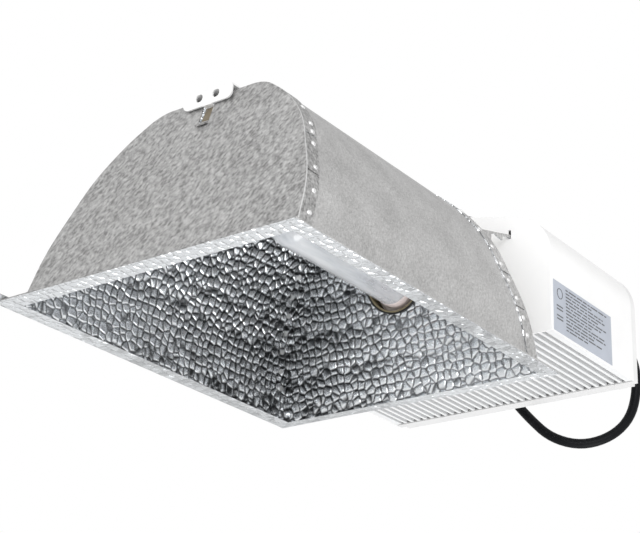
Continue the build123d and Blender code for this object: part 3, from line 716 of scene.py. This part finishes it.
@dataclass
class Reflector(SubAssembly):
    """Hood of folded sheet with riveted end plates and the ring on its lamp hole."""

    rivet: tuple = grey(0.97)
    near_tone: float = 0.36
    far_tone: float = 0.45
    barrel_tone: float = 0.47
    fold_x: float = NEAR_FOOT + 0.9

    def finishes(self) -> dict:
        """Sheets, rivets and ring.

        Returns:
            Each finish with the names of its pieces.
        """
        fold_foot = place(self.fold_x + NEAR_LEAN * HANGER_Z, 0, 0).x
        return {
            HammeredSheet("barrel_sheet_finish", relief=0.0022, relief_depth=0.00008, relief_shading_share=0.35,
                          outside_colour=self.barrel_tone): ["reflector_barrel"],
            HammeredSheet("near_plate_finish", outside_colour=self.near_tone, fold_lean=NEAR_LEAN,
                          fold_foot=fold_foot): ["near_end_plate"],
            HammeredSheet("far_plate_finish", relief_depth=0.0003, relief_shading_share=0.6, axis=Axis.ACROSS,
                          dark_at=0.12, bright_at=-0.10, bright_level=2.2,
                          outside_colour=self.far_tone): ["far_end_plate"],
            BareMetal("rivet_finish", self.rivet, 0.5): ["near_end_rivets", "far_end_rivets"],
            EdgedRing("edging_finish"): ["lamp_hole_edging"],
        }


@dataclass
class Lamp(SubAssembly):
    """Tubular lamp: glass, ceramic base and pins, arc tube and its frame."""

    base: tuple = (0.78, 0.68, 0.66, 1.0)
    arc: tuple = (0.85, 0.85, 0.8, 1.0)

    def finishes(self) -> dict:
        """Glass, ceramics and wires.

        Returns:
            Each finish with the names of its pieces.
        """
        return {
            LampGlass("lamp_glass_finish"): ["lamp_bulb"],
            Moulding("lamp_ceramic_finish", self.base, 0.3, coat=0.4): ["lamp_base"],
            Moulding("arc_ceramic_finish", self.arc, 0.35, coat=0.3): ["arc_tube"],
            BareMetal("pin_finish", grey(0.7)): ["lamp_pins"],
            BareMetal("frame_wire_finish", grey(0.72)): ["frame_wires"],
            BareMetal("getter_finish", grey(0.5)): ["getter"],
        }


@dataclass
class BallastHousing(SubAssembly):
    """White housing with its heat sink, hangers, lampholder and fastenings."""

    white: tuple = grey(0.9, 0.002)
    brass: tuple = (0.7, 0.5, 0.2, 1.0)
    holder: tuple = (0.80, 0.72, 0.66, 1.0)
    collar: tuple = (0.55, 0.49, 0.33, 1.0)
    film: tuple = (0.40, 0.43, 0.49, 1.0)

    def finishes(self) -> dict:
        """Enamels, ceramics, metals and the label's film.

        Returns:
            Each finish with the names of its pieces.
        """
        return {
            PowderCoat("housing_enamel", self.white): ["housing_cover", "hanger_arm", "rear_hanger"],
            # Painted light: the front panel's enamel is made whiter than the housing's to stand in for light
            # on that shaded face.
            PowderCoat("panel_enamel_painted_light", grey(0.99), 0.5): ["front_panel"],
            PowderCoat("cap_enamel", grey(0.8)): ["end_cap"],
            PowderCoat("sink_enamel_finish", grey(0.88, -0.008)): ["heat_sink"],
            PowderCoat("collar_enamel_finish", self.collar, 0.5): ["heat_collar"],
            Moulding("holder_ceramic_finish", self.holder, 0.35, coat=0.3): ["lampholder"],
            BareMetal("contact_finish", self.brass): ["lampholder_contacts"],
            BareMetal("bracket_finish", grey(0.55)): ["lampholder_bracket"],
            BareMetal("block_finish", grey(0.6)): ["mounting_blocks"],
            BareMetal("screw_finish", grey(0.7)): [
                "panel_screws", "cap_screws", "arm_screws", "collar_screws", "lampholder_screws",
                "rear_hanger_screws", "board_standoffs", "transistor_clips", "ground_screw"],
            Moulding("label_film_finish", self.film, 0.4): ["label_plate"],
        }


@dataclass
class Circuit(SubAssembly):
    """Electronics and wires inside the housing."""

    board: tuple = (0.02, 0.16, 0.05, 1.0)
    barrier: tuple = (0.7, 0.68, 0.5, 1.0)
    can: tuple = (0.02, 0.025, 0.05, 1.0)
    box: tuple = (0.5, 0.35, 0.05, 1.0)
    terminal: tuple = (0.03, 0.12, 0.05, 1.0)
    supply_wire: tuple = (0.25, 0.12, 0.05, 1.0)
    lamp_wire: tuple = (0.6, 0.6, 0.58, 1.0)

    def finishes(self) -> dict:
        """Board, cores, windings, cans and wires.

        Returns:
            Each finish with the names of its pieces.
        """
        return {
            Laminate("barrier_finish", self.barrier): ["insulating_sheet"],
            Laminate("board_finish", self.board): ["circuit_board"],
            Moulding("ferrite_finish", grey(0.03), 0.6): ["choke_core", "transformer_core"],
            Winding("magnet_wire_finish"): ["choke_winding", "transformer_winding", "noise_filter_coil"],
            Moulding("capacitor_finish", self.can, 0.3): ["bulk_capacitors"],
            Moulding("film_capacitor_finish", self.box, 0.4): ["film_capacitors"],
            Moulding("ignitor_finish", grey(0.03), 0.4): ["ignitor"],
            Moulding("transistor_finish", grey(0.02), 0.5): ["power_transistors"],
            BareMetal("spreader_finish", grey(0.7), 0.35): ["heat_spreader"],
            Moulding("terminal_finish", self.terminal, 0.4): ["terminal_block"],
            Moulding("supply_wire_finish", self.supply_wire, 0.45): ["supply_wires"],
            Moulding("lamp_wire_finish", self.lamp_wire, 0.5): ["lamp_wires"],
        }


# ---------------------------------------------------------------- modelling by hand
class Bench:
    """Mesh work on one new piece at a time."""

    @staticmethod
    def clear() -> None:
        """Leave edit mode and deselect everything."""
        if bpy.context.object and bpy.context.object.mode != "OBJECT":
            bpy.ops.object.mode_set(mode="OBJECT")
        bpy.ops.object.select_all(action="DESELECT")

    @staticmethod
    def named(name: str) -> bpy.types.Object:
        """Rename the newest primitive and put its place into its mesh.

        Args:
            name: its new name.

        Returns:
            The primitive.
        """
        item = bpy.context.object
        item.name = name
        item.data.name = name
        bpy.ops.object.transform_apply(location=True, rotation=True, scale=True)
        return item

    @staticmethod
    def block(name: str, centre: Vector, sizes: tuple) -> bpy.types.Object:
        """A box.

        Args:
            name: its name.
            centre: its middle, in metres.
            sizes: its sides, in millimetres.

        Returns:
            The box.
        """
        Bench.clear()
        bpy.ops.mesh.primitive_cube_add(size=1.0, location=centre)
        bpy.ops.transform.resize(value=[side * MM for side in sizes], center_override=centre)
        return Bench.named(name)

    @staticmethod
    def finish(item: bpy.types.Object, material: bpy.types.Material, body: Body, slot: str,
               smooth_degrees: float = 35.0) -> bpy.types.Object:
        """Smooth, dress and hang a finished piece on its body.

        Args:
            item: the piece.
            material: its finish.
            body: the body it moves with.
            slot: the record's material slot; not used.
            smooth_degrees: edges sharper than this stay sharp.

        Returns:
            The piece.
        """
        Bench.clear()
        item.select_set(True)
        bpy.context.view_layer.objects.active = item
        bpy.ops.object.shade_smooth_by_angle(angle=math.radians(smooth_degrees))
        item.select_set(False)
        dress(item, material)
        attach(item, body.value)
        LOG.info("%s: %d faces", item.name, len(item.data.polygons))
        return item


@dataclass
class SlotStripAndShade:
    """Dark brown strip behind the slot below the front hanger, in millimetres; its darkness is partly painted
    shade of the recess there.
    """

    half: float = 4.4
    low: float = 145.2
    high: float = 159.0
    thick: float = 0.8
    behind: float = 2.4
    edge: float = 0.3
    # Dark brown, partly painted shade of the recess behind the slot.
    colour: tuple = (0.16, 0.13, 0.085, 1.0)

    def build(self) -> None:
        """Make the strip, leaning as the end plate does, with eased edges."""
        middle = (self.low + self.high) / 2
        centre = place(NEAR_FOOT + NEAR_LEAN * middle + self.behind, 0, middle)
        strip = Bench.block("slot_strip_and_shade", centre, (self.thick, 2 * self.half, self.high - self.low))
        bpy.ops.object.mode_set(mode="EDIT")
        bpy.ops.mesh.select_all(action="SELECT")
        bpy.ops.transform.rotate(value=-math.atan(NEAR_LEAN), orient_axis="Y", center_override=centre)
        bpy.ops.mesh.bevel(offset=self.edge * MM, segments=2, affect="EDGES")
        bpy.ops.object.mode_set(mode="OBJECT")
        finish = Moulding("slot_strip_and_shade_finish", self.colour, 0.35)
        Bench.finish(strip, finish.material(), Body.BALLAST, "screw_steel")


@dataclass
class LabelPrint:
    """Generic print on the rating label: a ring and rows of grey bars, in millimetres."""

    row_shares: tuple = (0.95, 0.62, 0.86, 0.90, 0.74, 0.93, 0.81, 0.58, 0.88, 0.91, 0.66, 0.84, 0.5)
    text_x: float = 402.0
    text_end: float = 482.0
    top_z: float = 91.5
    pitch: float = 3.1
    bar_h: float = 1.25
    bar_t: float = 0.12
    word_sizes: tuple = (4.0, 7.0, 10.0, 13.0)
    word_gap: float = 1.6
    shortest_word: float = 2.0
    ring_x: float = 391.5
    ring_z: float = 84.5
    ring_r: float = 4.6
    ring_wire: float = 0.35
    note_x: float = 385.5
    note_length: float = 11.0
    note_drops: tuple = (12.0, 15.0, 21.0, 24.0)
    ink: tuple = grey(0.09, -0.05)

    def on_film(self, x: float, z: float) -> Vector:
        """A place on the front of the label's film.

        Args:
            x: how far along, in millimetres.
            z: how high, in millimetres.

        Returns:
            The place, in metres.
        """
        centre = place(x, 0, z)
        centre.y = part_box("label_plate")[0][1]
        return centre

    def bar(self, x: float, length: float, z: float) -> bpy.types.Object:
        """One printed bar standing just proud of the film.

        Args:
            x: its left end.
            length: its length.
            z: its middle height.

        Returns:
            The bar.
        """
        return Bench.block("label_bar", self.on_film(x + length / 2, z), (length, self.bar_t, self.bar_h))

    def rows(self) -> list[bpy.types.Object]:
        """The rows of bars, each broken into words.

        Returns:
            The bars.
        """
        bars = []
        for row, share in enumerate(self.row_shares):
            length = (self.text_end - self.text_x) * share
            word = 0.0
            index = 0
            while word < length - self.shortest_word:
                size = min(self.word_sizes[(row * 5 + index * 3) % len(self.word_sizes)], length - word)
                bars.append(self.bar(self.text_x + word, size, self.top_z - row * self.pitch))
                word += size + self.word_gap
                index += 1
        return bars

    def ring(self) -> bpy.types.Object:
        """The plain ring beside the rows.

        Returns:
            The ring.
        """
        Bench.clear()
        centre = self.on_film(self.ring_x, self.ring_z)
        bpy.ops.mesh.primitive_torus_add(location=centre, rotation=(math.pi / 2, 0, 0),
                                         major_radius=self.ring_r * MM, minor_radius=self.ring_wire * MM,
                                         major_segments=40, minor_segments=6)
        return Bench.named("label_ring")

    def build(self) -> None:
        """Print the rows, the ring and the notes under it as one piece."""
        bars = self.rows() + [self.ring()]
        bars += [self.bar(self.note_x, self.note_length, self.ring_z - drop) for drop in self.note_drops]
        Bench.clear()
        for item in bars:
            item.select_set(True)
        bpy.context.view_layer.objects.active = bars[0]
        bpy.ops.object.join()
        bars[0].name = "label_print"
        finish = Moulding("label_ink_finish", self.ink, 0.5)
        Bench.finish(bars[0], finish.material(), Body.BALLAST, "label_film")


# ---------------------------------------------------------------- cord
@dataclass
class SupplyCord:
    """Black mains cord: boot, free loop, coil of the spare length, tie and plug, in millimetres."""

    diameter: float = 9.4
    route: tuple = ((560, -92, 112), (588, -92, 112), (611, -94, 96), (621, -90, 71), (616, -84, 42),
                    (600, -70, 21), (586, -45, 13), (574, -19, 22), (571, 1, 43), (570, 19, 65),
                    (572, 36, 95), (577, 53, 125), (584, 69, 157), (577, 81, 185), (556, 90, 205),
                    (527, 93, 211), (502, 92, 200), (480, 90, 188))
    coil_centre: tuple = (454.0, 32.0, 178.8)
    coil_radius: float = 47.5
    turns: float = 5.5
    start_angle: float = 90.0
    points_per_turn: int = 16
    crossing: float = 0.22
    lead_angles: tuple = (-64, -37, -12)
    lead_rise: tuple = (3.0, 7.5, 7.5)
    metres: float = 2.2
    wall_x: float = 538.0
    wall_t: float = 1.6
    neck_r: float = 7.0
    boot_tip_r: float = 5.7
    ribs: int = 5
    sides: int = 40
    rubber: tuple = (0.002, 0.0025, 0.004, 1.0)
    brass: tuple = (0.75, 0.58, 0.28, 1.0)

    def over_coil(self, angle: float, radius: float, z: float) -> Vector:
        """A place on the coil.

        Args:
            angle: its direction from the middle, in degrees.
            radius: how far out, in millimetres.
            z: how high, in millimetres.

        Returns:
            The place, in metres.
        """
        turn = math.radians(angle)
        x, y, _ = self.coil_centre
        return place(x + radius * math.cos(turn), y + radius * math.sin(turn), z)

    def coil_points(self) -> list[Vector]:
        """Points of the wound turns: a layer wound inwards, then one outwards on top of it.

        Returns:
            Points in the frame, in metres.
        """
        inner, outer = self.coil_radius - self.diameter, self.coil_radius + self.diameter
        low = self.coil_centre[2] + self.diameter / 2
        high = low + self.diameter
        rings = [(outer, low), (self.coil_radius, low), (inner, low), (inner, high), (self.coil_radius, high),
                 (outer, high), (self.coil_radius, high + self.diameter)]
        points = []
        for step in range(int(self.turns * self.points_per_turn) + 1):
            turned = step / self.points_per_turn
            ring = int(turned)
            ring_end = min(ring + 1, self.turns)
            share = max(0.0, (turned - ring_end + self.crossing) / self.crossing)
            (r0, z0), (r1, z1) = rings[ring], rings[ring + 1]
            ease = share * share * (3 - 2 * share)
            angle = self.start_angle + 360.0 * turned
            points.append(self.over_coil(angle, r0 + (r1 - r0) * ease, z0 + (z1 - z0) * ease))
        return points

    def line(self) -> bpy.types.Object:
        """The cord itself, as one smooth spline from the boot to the plug.

        Returns:
            The cord.
        """
        top = self.coil_centre[2] + 2.5 * self.diameter
        points = [place(*point) for point in self.route] + self.coil_points()
        points += [self.over_coil(angle, self.coil_radius, top + rise)
                   for angle, rise in zip(self.lead_angles, self.lead_rise)]
        data = bpy.data.curves.new("supply_cord", "CURVE")
        data.dimensions = "3D"
        spline = data.splines.new("NURBS")
        spline.points.add(len(points) - 1)
        for knot, point in zip(spline.points, points):
            knot.co = (*point, 1.0)
        spline.order_u = 3
        spline.use_endpoint_u = True
        data.bevel_depth = self.diameter / 2 * MM
        data.bevel_resolution = 5
        data.resolution_u = 5
        data.use_fill_caps = True
        cord = bpy.data.objects.new("supply_cord", data)
        bpy.context.scene.collection.objects.link(cord)
        return cord

    def boot_rings(self, inside: float, end: float, outer: float) -> list[tuple]:
        """Places along the boot and its radius at each.

        Args:
            inside: where its inner flange starts, in metres.
            end: where its tip ends.
            outer: its largest radius.

        Returns:
            Pairs of place and radius.
        """
        wall = place(self.wall_x, 0, 0).x
        neck = self.neck_r * MM
        tip = self.boot_tip_r * MM
        rings = [(inside, outer * 0.4), (inside, outer), (wall - self.wall_t * MM, outer),
                 (wall - self.wall_t * MM, neck), (wall, neck), (wall, outer), (wall + 2 * MM, outer)]
        start = wall + 2.4 * MM
        pitch = (end - 1.5 * MM - start) / self.ribs
        for rib in range(self.ribs):
            radius = outer * 0.86 - (outer * 0.86 - tip) * rib / (self.ribs - 1)
            foot = start + rib * pitch
            rings += [(foot, radius - 0.8 * MM), (foot + pitch * 0.25, radius), (foot + pitch * 0.7, radius),
                      (foot + pitch * 0.95, radius - 1.0 * MM)]
        return rings + [(end, 5.0 * MM), (end, 4.0 * MM)]

    def boot(self) -> bpy.types.Object:
        """Tapered strain relief with ribs, and a flange inside the end cap.

        Returns:
            The boot.
        """
        Bench.clear()
        lowest, highest = (Vector(corner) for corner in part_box("strain_relief"))
        middle = (lowest + highest) / 2
        rings = self.boot_rings(lowest.x, highest.x, (highest.z - lowest.z) / 2)
        bpy.ops.mesh.primitive_circle_add(vertices=self.sides, radius=rings[0][1], fill_type="NGON",
                                          location=(rings[0][0], middle.y, middle.z),
                                          rotation=(0, -math.pi / 2, 0))
        boot = Bench.named("cord_boot")
        bpy.ops.object.mode_set(mode="EDIT")
        bpy.ops.mesh.select_all(action="SELECT")
        for (x0, r0), (x1, r1) in zip(rings, rings[1:]):
            bpy.ops.mesh.extrude_region_move(TRANSFORM_OT_translate={"value": (x1 - x0, 0, 0)})
            bpy.ops.transform.resize(value=(1, r1 / r0, r1 / r0), center_override=(x1, middle.y, middle.z))
        bpy.ops.mesh.select_all(action="SELECT")
        bpy.ops.mesh.normals_make_consistent(inside=False)
        bpy.ops.object.mode_set(mode="OBJECT")
        return boot

    def build(self) -> None:
        rubber = Moulding("cord_rubber_finish", self.rubber, 0.5, 0.0012, gloss=0.15).material()
        cord = self.line()
        dress(cord, rubber)
        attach(cord, Body.BALLAST.value)
        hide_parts("power_cord", "cord_coil", "plug_lead")
        boot = Bench.finish(self.boot(), rubber, Body.BALLAST, "cord_rubber")
        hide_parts("strain_relief")
        tie, plug, blades = (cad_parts[node] for node in ("coil_tie", "plug_body", "plug_blades"))
        dress(tie, Webbing("tie_webbing_finish").material())
        dress(plug, rubber)
        dress(blades, BareMetal("blade_finish", self.brass).material())
        place(*self.route[0])
        LOG.info("supply_cord: %.2f m", self.metres)


# ---------------------------------------------------------------- studio
@dataclass
class Studio:
    """Pale floor, white surroundings, soft lights and the camera."""

    camera_place: tuple = (-858.2, -768.1, -635.3)
    right: tuple = (0.593, -0.805, 0.033)
    down: tuple = (0.336, 0.209, -0.918)
    focal: float = 93.47
    sensor: float = 36.0
    floor_z: float = -1.6
    floor_side: float = 12.0
    dim_band: float = 0.60
    bright_band: float = 1.08
    band_scale: float = 2.2
    hood_middle: tuple = (260.0, 0.0, 80.0)
    panel_corner: tuple = (376.0, -60.0, 110.0)
    fins_middle: tuple = (460.0, 0.0, 60.0)

    def camera(self) -> None:
        """Put the camera where it looks up at the hood's rim."""
        right = Vector(self.right).normalized()
        up = -Vector(self.down)
        up = (up - right * up.dot(right)).normalized()
        back = right.cross(up)
        data = bpy.data.cameras.new("camera")
        data.lens = self.focal
        data.sensor_width = self.sensor
        data.clip_end = 100.0
        camera = bpy.data.objects.new("camera", data)
        turned = Matrix((right, up, back)).transposed().to_4x4()
        camera.matrix_world = Matrix.Translation(Vector(self.camera_place) * MM) @ turned
        bpy.context.scene.collection.objects.link(camera)
        bpy.context.scene.camera = camera
        bpy.context.scene.view_settings.view_transform = "Standard"

    def surroundings(self) -> None:
        """White behind the lamp; round it, broad bright and dimmer bands for the metal to show."""
        world = bpy.data.worlds.new("studio")
        bpy.context.scene.world = world
        sky = Tree(world)
        way = sky.node("ShaderNodeTexCoord", {}, {}, "Generated")
        bands = sky.node("ShaderNodeTexNoise", {}, {"Vector": way, "Scale": self.band_scale})
        stops = ((0.42, grey(self.dim_band)), (0.58, grey(self.bright_band)))
        colour = sky.node("ShaderNodeValToRGB", {"stops": stops}, {0: bands})
        soft = sky.node("ShaderNodeBackground", {}, {"Color": colour})
        white = sky.node("ShaderNodeBackground", {}, {"Color": grey(1.0)})
        seen = sky.node("ShaderNodeLightPath", {}, {}, "Is Camera Ray")
        shown = sky.node("ShaderNodeMixShader", {}, {0: seen, 1: soft, 2: white})
        sky.node("ShaderNodeOutputWorld", {}, {"Surface": shown}, None)

    def light(self, name: str, spot: tuple, aim: Vector, size: float, power: float) -> None:
        """Add a soft square light.

        Args:
            name: its name.
            spot: where it stands, in metres.
            aim: what it looks at.
            size: its side, in metres.
            power: its power, in watts.
        """
        data = bpy.data.lights.new(name, "AREA")
        data.size = size
        data.energy = power
        lamp = bpy.data.objects.new(name, data)
        lamp.location = spot
        lamp.rotation_euler = (aim - Vector(spot)).to_track_quat("-Z", "Y").to_euler()
        bpy.context.scene.collection.objects.link(lamp)

    def floor(self) -> None:
        """A plain pale floor well below the lamp."""
        Bench.clear()
        bpy.ops.mesh.primitive_plane_add(size=self.floor_side, location=(0.2, 0, self.floor_z))
        floor = Bench.named("floor")
        dress(floor, PowderCoat("floor_finish", grey(0.8), 0.7).material())

    def build(self) -> None:
        """Set up the camera, surroundings, floor and lights."""
        self.camera()
        self.surroundings()
        self.floor()
        self.light("key", (-1.4, -0.5, 1.6), place(*self.hood_middle), 1.4, 3.0)
        self.light("side", (-1.7, -1.5, -0.1), place(*self.panel_corner), 1.2, 26.0)
        self.light("below", (0.5, -0.5, -1.4), place(*self.fins_middle), 0.9, 9.0)


def main() -> None:
    """Build every sub-assembly in order."""
    logging.basicConfig(level=logging.INFO, format="%(message)s")
    for part in (Studio(), SupplyCord(), Reflector(), Lamp(), BallastHousing(), Circuit(), LabelPrint(),
                 SlotStripAndShade()):
        LOG.info("building %s", type(part).__name__)
        part.build()


if __name__ == "__main__":
    main()
